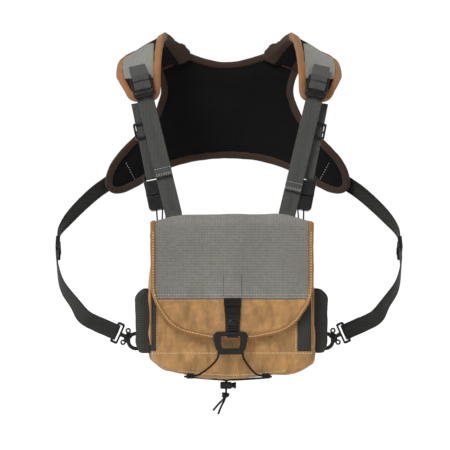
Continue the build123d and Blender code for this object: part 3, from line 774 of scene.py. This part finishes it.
class HARNESS_OT_leash(PieceOperator):
    """Leash straps and the thin cords that hold the binocular"""

    bl_idname = "harness.leash"
    bl_label = "Leash"

    def execute(self, context):
        points = [(0, 0, -3.8), (0, 0, -30), (0, 0, -60), (0, 0, -107.2), (0, 4.3, -107.2), (0, 4.3, -79)]
        strap = strap_webbing("right_leash_webbing", LEASH, points, [0, 0, 0, 1.9, 1.9, 0], LEASH_WEB)
        place_pair(strap, "pack", "webbing_grey", "leash_strap")
        route = [
            (95.4, 10.3, 106.4), (94.8, 3.0, 98.0), (94.2, -6.0, 91.0), (93.4, -15.0, 82.0),
            (94.2, -19.0, 68.0), (93.4, -20.4, 50.0), (94.8, -20.0, 35.2), (89.8, -20.0, 28.0),
            (82.6, -20.2, 28.0), (77.6, -20.0, 35.2), (79.8, -20.4, 50.0), (82.0, -19.0, 67.0),
            (84.8, -15.0, 82.0), (87.6, -6.0, 92.0), (88.2, 3.0, 99.4), (87.6, 10.6, 107.9),
        ]
        for side, sign in SIDES:
            points = [(sign * x, y, z) for x, y, z in route]
            cord = free_cord(side + "_leash_line", points, 2.0)
            place(cord, side + "_plug", "shock_cord_black", side + "_leash_cord")
        return {"FINISHED"}


def free_cord(name, points, diameter):
    """A cord on a smooth line that has the route's points as its control points."""
    curve = bpy.data.curves.new(name, "CURVE")
    curve.dimensions = "3D"
    curve.bevel_depth = diameter / 2 * MM
    curve.bevel_resolution = 3
    curve.resolution_u = 8
    curve.use_fill_caps = True
    spline = curve.splines.new("NURBS")
    spline.points.add(len(points) - 1)
    for point, at in zip(spline.points, points):
        point.co = (*mm(*at), 1.0)
    spline.order_u = 3
    spline.use_endpoint_u = True
    obj = bpy.data.objects.new(name, curve)
    bpy.context.scene.collection.objects.link(obj)
    dress(obj, "shock_cord_black")
    return obj


HOOK_BAR, HOOK_NOSE = Vector((150, -15, -49)), Vector((113.4, -15, -65.3))


def hook_frame():
    x = (HOOK_NOSE - HOOK_BAR).normalized()
    z = x.cross(BACK)
    return axes(x, z.cross(x), z, HOOK_BAR * MM)


class HARNESS_OT_side_straps(PieceOperator):
    """Webbing from the wings round the wearer's sides to the side hooks"""

    bl_idname = "harness.side_straps"
    bl_label = "Side straps"

    def execute(self, context):
        hook = hook_frame()
        stations = [
            ((136, 193.9, 163), (0.46, 0.89, 0)), ((166, 177.4, 143), (0.56, 0.83, 0)),
            ((186, 156, 127), (0.66, 0.75, 0)), ((211, 128, 101), (0.86, 0.5, 0)),
            ((227, 106, 78), (1, 0, 0)), ((227, 84, 57), (1, 0, 0)), ((227, 62, 36), (1, 0, 0)),
            ((219, 30, 9), (0.9, -0.4, -0.1)), ((203, 5, -12), (0.6, -0.75, -0.2)),
        ]
        bend = (hook @ mm(-42, -2.9, 0)) / MM + Vector((0, 2, 2))
        stations.append((tuple(bend), (0.2, -0.98, 0)))
        for x, y, turn in (
            (-24, -2.9, (0, -1)), (-10, -2.9, (0, -1)), (1.5, -2.9, (0, -1)), (4.3, -1.6, (0.8, -0.6)),
            (4.6, 0, (1, 0)),
            (4.3, 1.6, (0.8, 0.6)), (1.5, 2.9, (0, 1)), (-10, 2.9, (0, 1)), (-22, 2.8, (0, 1)),
        ):
            at = (hook @ mm(x, y, 0)) / MM
            normal = hook.to_3x3() @ Vector((turn[0], turn[1], 0))
            stations.append((tuple(at), tuple(normal)))
        line = smooth_line([mm(*at) for at, _ in stations], 8)
        normals = smooth_line([n for _, n in stations], 8)
        across = [ahead.cross(normal).normalized() for ahead, normal in zip(tangents(line), normals)]
        strap = band("right_side_webbing", line, across, SIDE_WEB, "webbing_charcoal", 0.3)
        place_pair(strap, "pack", "webbing_grey", "side_strap")
        return {"FINISHED"}


class HARNESS_OT_moulded_parts(PieceOperator):
    """Buckles, sliders, hooks, ladder locks, ring and cord lock, with the rounded edges of moulded parts"""

    bl_idname = "harness.moulded_parts"
    bl_label = "Moulded parts"

    def execute(self, context):
        shared = (
            ("pad_ladder_locks", "ladder_locks", "pack", 0.5, 4),
            ("pull_ring", "closure_ring", "ring", 0.45, 24),
            ("cord_stop_body", "cord_lock_body", "pack", 0.4, 4),
            ("cord_stop_button", "cord_lock_button", "lock_button", 0.4, 4),
        )
        for name, node, body, voxel, smooth in shared:
            place(skin(name, [node], voxel, smooth, "acetal_black"), body, "acetal_black", node)
        paired = (
            ("leash_adjuster_body", "leash_slider", "leash_adjuster", 0.5, 5),
            ("leash_buckle_socket", "leash_socket", "pack", 0.48, 24),
            ("leash_buckle_plug", "leash_plug", "plug", 0.48, 24),
            ("side_adjuster_body", "side_slider", "side_adjuster", 0.5, 5),
            ("hook_frame_body", "side_hook_frame", "pack", 0.45, 5),
            ("hook_jaw_upper", "hook_upper_jaw", "upper_jaw", 0.4, 5),
            ("hook_jaw_lower", "hook_lower_jaw", "lower_jaw", 0.4, 5),
        )
        for name, node, body, voxel, smooth in paired:
            right = skin("right_" + name, ["right_" + node], voxel, smooth, "acetal_black")
            place_pair(right, body, "acetal_black", node)
        return {"FINISHED"}


def base_dip(x):
    """How much lower the case's base is towards its middle, in mm."""
    return -11.0 * (1 - min(1.0, abs(x) / 95.0) ** 1.6)


class HARNESS_OT_case(PieceOperator):
    """The case as one sagging shell, its lower band, strips, pockets, loops and pads"""

    bl_idname = "harness.case"
    bl_label = "Case"

    def execute(self, context):
        self.shell()
        self.trimmings()
        return {"FINISHED"}

    def shell(self):
        half, front, back, count = 102.0, -95.0, -4.3, 132
        bm = bmesh.new()

        def mouth(at):
            """Height of the case's upper edge: crowned in front and behind, lower at the sides."""
            if at.y < -88:
                return 91 - max(0.0, abs(at.x) - 66) * 0.35
            if at.y > -8:
                return 95.5 - max(0.0, abs(at.x) - 66) * 0.6
            return 79.0

        def row(inset_x, inset_y, corner, level, rise=0.0):
            x, low, high = half - inset_x, front + inset_y, back - inset_y
            corners = [Vector((x, low, 0)), Vector((x, high, 0)), Vector((-x, high, 0)), Vector((-x, low, 0))]
            line = rounded(corners, [corner] * 4, True, 8)
            around = sum((b - a).length for a, b in zip(line, line[1:] + line[:1]))
            made = []
            for at in evenly(line, around / count, True)[:count]:
                z = level + rise * (mouth(at) - level) + base_dip(at.x) * max(0.0, (-62 - level) / 33) ** 2
                made.append(bm.verts.new(mm(at.x, at.y, z)))
            return made

        rows = [row(20 + 72 * t, 7 + 34 * t, 10 - 6 * t, -95) for t in (1.0, 0.7, 0.45, 0.22, 0.08)]
        for angle in (0, 20, 40, 60, 80):
            turn = math.radians(angle)
            left_in = 1 - math.sin(turn)
            rows.append(row(20 * left_in, 7 * left_in, 10, -95 + 20 * (1 - math.cos(turn))))
        for step in range(27):
            rows.append(row(0, 0, 8, -74, step / 26))
        bridge(bm, rows)
        bm.faces.new(rows[0][::-1])
        bmesh.ops.recalc_face_normals(bm, faces=bm.faces)
        case = make_object("case_shell", bm, "canvas_tan")
        shift(case, folds(60, 3.0, (1, 1, 1.6), 1.0))
        creases = folds(22, 4.5, (0.8, 1, 1.7), 6.0)
        shift(case, lambda at, normal: creases(at, None) * (1.0 if at.z > -86 * MM else 0.4))
        shift(case, folds(9, 1.8, (0.7, 1, 1.5), 3.0))
        wall = case.modifiers.new("wall", "SOLIDIFY")
        wall.thickness = 3.2 * MM
        wall.offset = -1
        finer = case.modifiers.new("finer", "SUBSURF")
        finer.levels = 1
        settle(case)

        def band_step(at, normal):
            return 0.9 * MM if at.z < -70.5 * MM and normal.z > -0.6 else 0.0

        shift(case, band_step)
        nodes = ["case_left_side", "case_right_side", "case_base", "case_front_panel", "case_back_panel"]
        place(case, "pack", "canvas_tan", *nodes)
        rows = [[mm(-99, -95, -72.6), mm(99, -95, -72.6)]]
        rows.append([mm(x, -95, -90.5 + base_dip(x) * 0.9) for x in range(-66, 67, 6)])
        for x in (-94.5, 80.0):
            rows.append([mm(x, -95, 8), mm(x, -95, -69)])
        sewn = stitches("case_front_stitches", rows, surface_of(case), BACK, "thread_pale")
        place(sewn, "pack", "canvas_tan")

    def trimmings(self):
        front = surface_of(bpy.data.objects["case_shell"])
        for side, inner, outer in (("right", 82, 98.5), ("left", -101.0, -95.0)):
            bm = bmesh.new()
            rows = []
            for z in range(4, -72, -2):
                row = []
                for step in range(9):
                    at = mm(inner + (outer - inner) * step / 8, -120, z)
                    hit = front.ray_cast(at, BACK)[0]
                    row.append(bm.verts.new((hit or at + mm(0, 26, 0)) - mm(0, 0.3, 0)))
                rows.append(row)
            for first, second in zip(rows, rows[1:]):
                for i in range(8):
                    bm.faces.new((first[i], second[i], second[i + 1], first[i + 1]))
            strip = make_object(side + "_corner_mesh", bm, "mesh_grey")
            wall = strip.modifiers.new("wall", "SOLIDIFY")
            wall.thickness = 1.2 * MM
            wall.offset = 0.6
            place(settle(strip), "pack", "mesh_black", "corner_mesh_strips")
        self.pockets()
        # Painted highlight: a thin tube down each front corner stands for the pocket's bound edge; the edge
        # is real, its pale tan paints the highlight along it.
        for side, sign in SIDES:
            line = smooth_line([mm(sign * 101.6, -95.4, z) for z in range(10, -73, -12)], 4)
            edge_highlight = round_tube(side + "_corner_piping", line, 1.2 * MM, "edge_tape_tan")
            place(edge_highlight, "pack", "edge_tape_tan")
        for name, node, voxel in (
            ("case_hook_loops", "hook_loops", 0.6), ("base_cord_guides", "cord_guides", 0.5),
        ):
            place(skin(name, [node], voxel, 3, "webbing_black"), "pack", "webbing_black", node)
        back = skin("case_rest_pad", ["case_back_pad"], 3, 3, "mesh_black")
        swell(back, 1.5 * MM)
        place(back, "pack", "mesh_black", "case_back_pad")
        floor = skin("case_inner_floor", ["case_floor_pad"], 3, 2, "foam_black")
        shift(floor, outwards(-1.5))
        place(floor, "pack", "foam_black", "case_floor_pad")

    def pockets(self):
        """Side pockets, drawn in at the mouth and the foot, with a bound hem."""
        pocket = skin("right_pocket", ["right_side_pocket"], 1.2, 4, "mesh_grey")
        for vertex in pocket.data.vertices:
            near_top = max(0.0, (vertex.co.z / MM + 8) / 14)
            near_foot = max(0.0, (-58 - vertex.co.z / MM) / 15)
            pull = 1 - 0.5 * min(1.0, near_top) ** 2.2 - 0.25 * min(1.0, near_foot) ** 2
            vertex.co.x = 0.102 + (vertex.co.x - 0.102) * pull
        shift(pocket, folds(26, 2.4, seed=9.0))
        place_pair(pocket, "pack", "mesh_black", "side_pocket")
        corners = [(102.5, -81.6, 5), (111.6, -81.6, 5), (111.6, -24.4, 5), (102.5, -24.4, 5)]
        edge = corner_line(corners, [0, 6, 6, 0])
        hem = round_tube("right_pocket_hem", edge, 1.5 * MM, "webbing_charcoal")
        place_pair(hem, "pack", "mesh_black")


class HARNESS_OT_flap(PieceOperator):
    """Two-cloth flap with its lining, edge tape and stitching"""

    bl_idname = "harness.flap"
    bl_label = "Flap"

    def execute(self, context):
        upper = skin("flap_upper_cloth", ["flap_panel"], 1.2, 1, "grey_cordura")
        lower = skin("flap_lower_cloth", ["flap_lower_panel"], 1.2, 1, "canvas_tan")
        lining = skin("flap_inner_cloth", ["flap_lining"], 1.2, 0, "lining_black")
        crinkles = folds(12, 0.5, seed=3.0)
        tape = edge_tape("flap_edge_tape", "flap_binding", 1.0, 5, "edge_tape_tan", 0.9, crinkles)
        shift(lower, outwards(0.35))
        broad, short = folds(60, 3.2, (1, 3, 0.8), 4.0), folds(19, 3.6, (0.8, 4, 1.7), 2.0)

        def drape(at, normal):
            low = min(1.0, max(0.15, (12 - at.z / MM) / 24))
            beside_tab = min(1.0, max(0.1, abs(at.x / MM) / 30)) if at.z < 15 * MM else 1.0
            return (broad(at, None) + short(at, None) * low) * beside_tab

        for cloth in (upper, lower, lining, tape):
            sway(cloth, drape)
        nodes = ("flap_panel", "flap_lower_panel", "flap_lining", "flap_binding")
        for cloth, node in zip((upper, lower, lining, tape), nodes):
            place(cloth, "flap", cloth.data.materials[0].name, node)
        half = [(98.6, 78), (98.6, -2.5), (73, -41.8), (26, -51.6)]
        curve = [(-x, z) for x, z in half] + half[::-1]
        edge = corner_line([(x, -100, z) for x, z in curve], [0, 55, 47, 57, 57, 47, 55, 0], 10)
        whole = surface_of(upper, lower, tape)
        seam = [[mm(x, -100, z) for x in range(-96, 97, 6)] for z in (-3.0, 0.4)]
        upright = [[mm(x, -100, 0), mm(x, -100, 24)] for x in (-11, 12)]
        for name, rows, thread, slot in (
            ("flap_tape_stitches", [edge], "thread_pale", "edge_tape_tan"),
            ("flap_seam_stitches", seam, "thread_grey", "grey_cordura"),
            ("flap_tab_stitches", upright, "thread_dark", "grey_cordura"),
        ):
            place(stitches(name, rows, whole, BACK, thread, 0.3), "flap", slot)
        return {"FINISHED"}


class HARNESS_OT_closure(PieceOperator):
    """Hook tab, shock cord legs, base runs, tails and knot"""

    bl_idname = "harness.closure"
    bl_label = "Closure"

    def tab(self, x):
        """A folded webbing end above and a moulded hook below, which takes the ring."""
        bm = bmesh.new()
        taper(bm, x, (9.6, -26), (10.9, -3.4), -102.9, -101.0)
        taper(bm, x, (10.4, -13.5), (10.6, -11), -104.0, -101.5)
        web = evened(make_object("tab_webbing", bm, "webbing_black"), 0.6, 3)
        shift(web, folds(7, 0.9, (1.6, 1, 0.7), 2.0))
        place(web, "flap", "webbing_black", "closure_tab")
        bm = bmesh.new()
        taper(bm, x, (8.6, -51.6), (9.6, -24), -102.8, -101.0)
        for low, high, side, out in ((-27.5, -25, 8.6, 1.1), (-41.5, -40, 6, 0.9), (-44.6, -43.4, 6, 0.9)):
            taper(bm, x, (side, low), (side, high), -102.8 - out, -102)
        turns = [math.pi * i / 12 for i in range(13)]
        slab(bm, [(x + 6.3 * math.cos(a), -38.6 + 7.2 * math.sin(a)) for a in turns], -104.2, -102)
        taper(bm, x, (6.6, -52.8), (6.6, -51.4), -108.3, -101.4)
        taper(bm, x, (6.6, -52.8), (6.6, -49.9), -108.6, -107.2)
        hook = evened(make_object("tab_hook", bm, "acetal_black"), 0.45, 2)
        place(hook, "flap", "acetal_black", "closure_tab")

    def execute(self, context):
        self.tab(0.5)
        left_leg = [
            (-16.9, -104.9, -71.0), (-16.9, -104.9, -76.2), (-22, -102.4, -84.5), (-33, -100.6, -94),
            (-43.5, -99.5, -101), (-52, -99.5, -101),
        ]
        right_leg = [
            (12.9, -104.9, -71.0), (12.9, -104.9, -76.2), (18, -102.4, -85), (25, -100.6, -94.5),
            (33, -99.5, -101), (42, -99.5, -101),
        ]
        left_run = [
            (-52, -99.5, -101), (-57, -99.2, -101.2), (-60, -93, -102.2), (-52, -85, -103.2),
            (-36, -81, -105.0), (-18, -78.5, -106.6), (-7.4, -77.4, -107.4), (-7, -77.4, -110),
            (-7, -77.4, -119.5),
        ]
        right_run = [
            (42, -99.5, -101), (47, -99.2, -101.2), (50, -93, -102.4), (43, -85, -104.2),
            (26, -80, -105.8), (6, -76.4, -107.2), (-6.4, -74.6, -107.4), (-7, -74.6, -110),
            (-7, -74.6, -119.5),
        ]
        for name, points, body, node in (
            ("left_ring_leg", left_leg, "ring", "closure_cord_legs"),
            ("right_ring_leg", right_leg, "ring", "closure_cord_legs"),
            ("left_base_run", left_run, "pack", "closure_cord_base"),
            ("right_base_run", right_run, "pack", "closure_cord_base"),
        ):
            place(free_cord(name, points, 2.6), body, "shock_cord_black", node)
        tail_a = [
            (-7, -77.4, -119.5), (-7, -77.4, -125.5), (-10.6, -78.8, -132), (-17.4, -80.4, -138),
            (-23.5, -81, -145.5),
        ]
        tail_b = [
            (-7, -74.6, -119.5), (-7, -74.6, -126), (-9.4, -75.2, -134), (-13.8, -76, -141.5),
            (-17, -76.2, -150.5),
        ]
        coil = []
        for i in range(73):
            angle = 2 * math.pi * 2.48 * i / 72
            ring = mm(0, 2.2 * math.cos(angle), 2.2 * math.sin(angle))
            coil.append(mm(-12.72 + 2.6 * i / 72, -76, -114.2) + ring)
        spring = round_tube("cord_stop_spring", coil, 0.22 * MM, "spring_steel")
        place(spring, "pack", "spring_steel", "cord_lock_spring")
        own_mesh(spring)
        knot = skin("tail_knot", ["cord_knot"], 0.4, 2, "shock_cord_black")
        place(knot, "pack", "shock_cord_black", "cord_knot")
        for name, points, length, carried in (
            ("left_tail", tail_a, 0.0322, [knot]), ("right_tail", tail_b, 0.0331, []),
        ):
            tail = free_cord(name, points, 2.6)
            place(tail, "pack", "shock_cord_black", name.replace("_", "_cord_"))
        return {"FINISHED"}


class HARNESS_OT_stage(PieceOperator):
    """Pale floor, soft studio light and the camera"""

    bl_idname = "harness.stage"
    bl_label = "Stage"

    def execute(self, context):
        scene = context.scene
        scene.view_settings.view_transform = "Standard"
        bm = bmesh.new()
        bmesh.ops.create_grid(bm, x_segments=8, y_segments=8, size=12)
        bmesh.ops.translate(bm, vec=(0, 0, -0.32), verts=bm.verts)
        # Matt white paper: no gloss, a barely visible tooth.
        material, tree = start_material("white_paper")
        tone = mix(tree, mottle(tree, 400), (*linear("#FBFBFA"), 1), (*linear("#FDFDFD"), 1))
        finish_material(material, tree, {"Base Color": tone, "Roughness": 0.95, "Specular IOR Level": 0.0})
        make_object("paper_floor", bm, "white_paper")
        world = bpy.data.worlds.new("soft_room")
        scene.world = world
        world.use_nodes = True
        # A white wall all round, with a dimmer ceiling over it.
        tree = world.node_tree
        direction = add_node(tree, "ShaderNodeTexCoord").outputs["Generated"]
        height = add_node(tree, "ShaderNodeSeparateXYZ", {0: direction}).outputs["Z"]
        bright = ramp(tree, height, 0.22, 0.5, 1.03, 0.42)
        background = tree.nodes["Background"]
        background.inputs["Color"].default_value = (1.0, 1.0, 1.0, 1.0)
        tree.links.new(bright, background.inputs["Strength"])
        lamps = (("key_sun", (-1.0, -1.35, 2.1), 24, 2.4), ("side_sun", (-2.2, -0.6, 0.9), 30, 0.5))
        for name, at, spread, power in lamps:
            light = bpy.data.lights.new(name, "SUN")
            light.angle = math.radians(spread)
            light.energy = power
            lamp = bpy.data.objects.new(name, light)
            lamp.location = at
            lamp.rotation_euler = (Vector((0, 0, 0.08)) - Vector(at)).to_track_quat("-Z", "Y").to_euler()
            scene.collection.objects.link(lamp)
        camera = bpy.data.objects.new("camera", bpy.data.cameras.new("camera"))
        camera.data.angle = math.radians(11.47)
        camera.location = (-0.0617, -2.895, 0.0875)
        camera.rotation_euler = Vector((0.0189, 1, 0)).to_track_quat("-Z", "Y").to_euler()
        scene.collection.objects.link(camera)
        scene.camera = camera
        return {"FINISHED"}


class HARNESS_PT_pieces(bpy.types.Panel):
    bl_label = "Binocular harness pack"
    bl_idname = "HARNESS_PT_pieces"
    bl_space_type = "VIEW_3D"
    bl_region_type = "UI"
    bl_category = "Harness"

    def draw(self, context):
        for group in (context.scene.harness_colours, context.scene.harness_sizes):
            for name in group.bl_rna.properties.keys():
                if name not in ("rna_type", "name"):
                    self.layout.prop(group, name)
        for piece in PIECES:
            self.layout.operator(piece.bl_idname)


PIECES = (
    HARNESS_OT_stage,
    HARNESS_OT_closure,
    HARNESS_OT_leash,
    HARNESS_OT_yoke,
    HARNESS_OT_shoulder_pads,
    HARNESS_OT_main_straps,
    HARNESS_OT_lock_loops,
    HARNESS_OT_side_straps,
    HARNESS_OT_moulded_parts,
    HARNESS_OT_case,
    HARNESS_OT_flap,
)
CLASSES = (HarnessColours, HarnessSizes, *PIECES, HARNESS_PT_pieces)


def register():
    for cls in CLASSES:
        bpy.utils.register_class(cls)
    bpy.types.Scene.harness_colours = PointerProperty(type=HarnessColours)
    bpy.types.Scene.harness_sizes = PointerProperty(type=HarnessSizes)


def unregister():
    del bpy.types.Scene.harness_sizes
    del bpy.types.Scene.harness_colours
    for cls in reversed(CLASSES):
        bpy.utils.unregister_class(cls)


def main():
    register()
    make_materials()
    for piece in PIECES:
        group, name = piece.bl_idname.split(".")
        getattr(getattr(bpy.ops, group), name)()


if __name__ == "__main__":
    main()
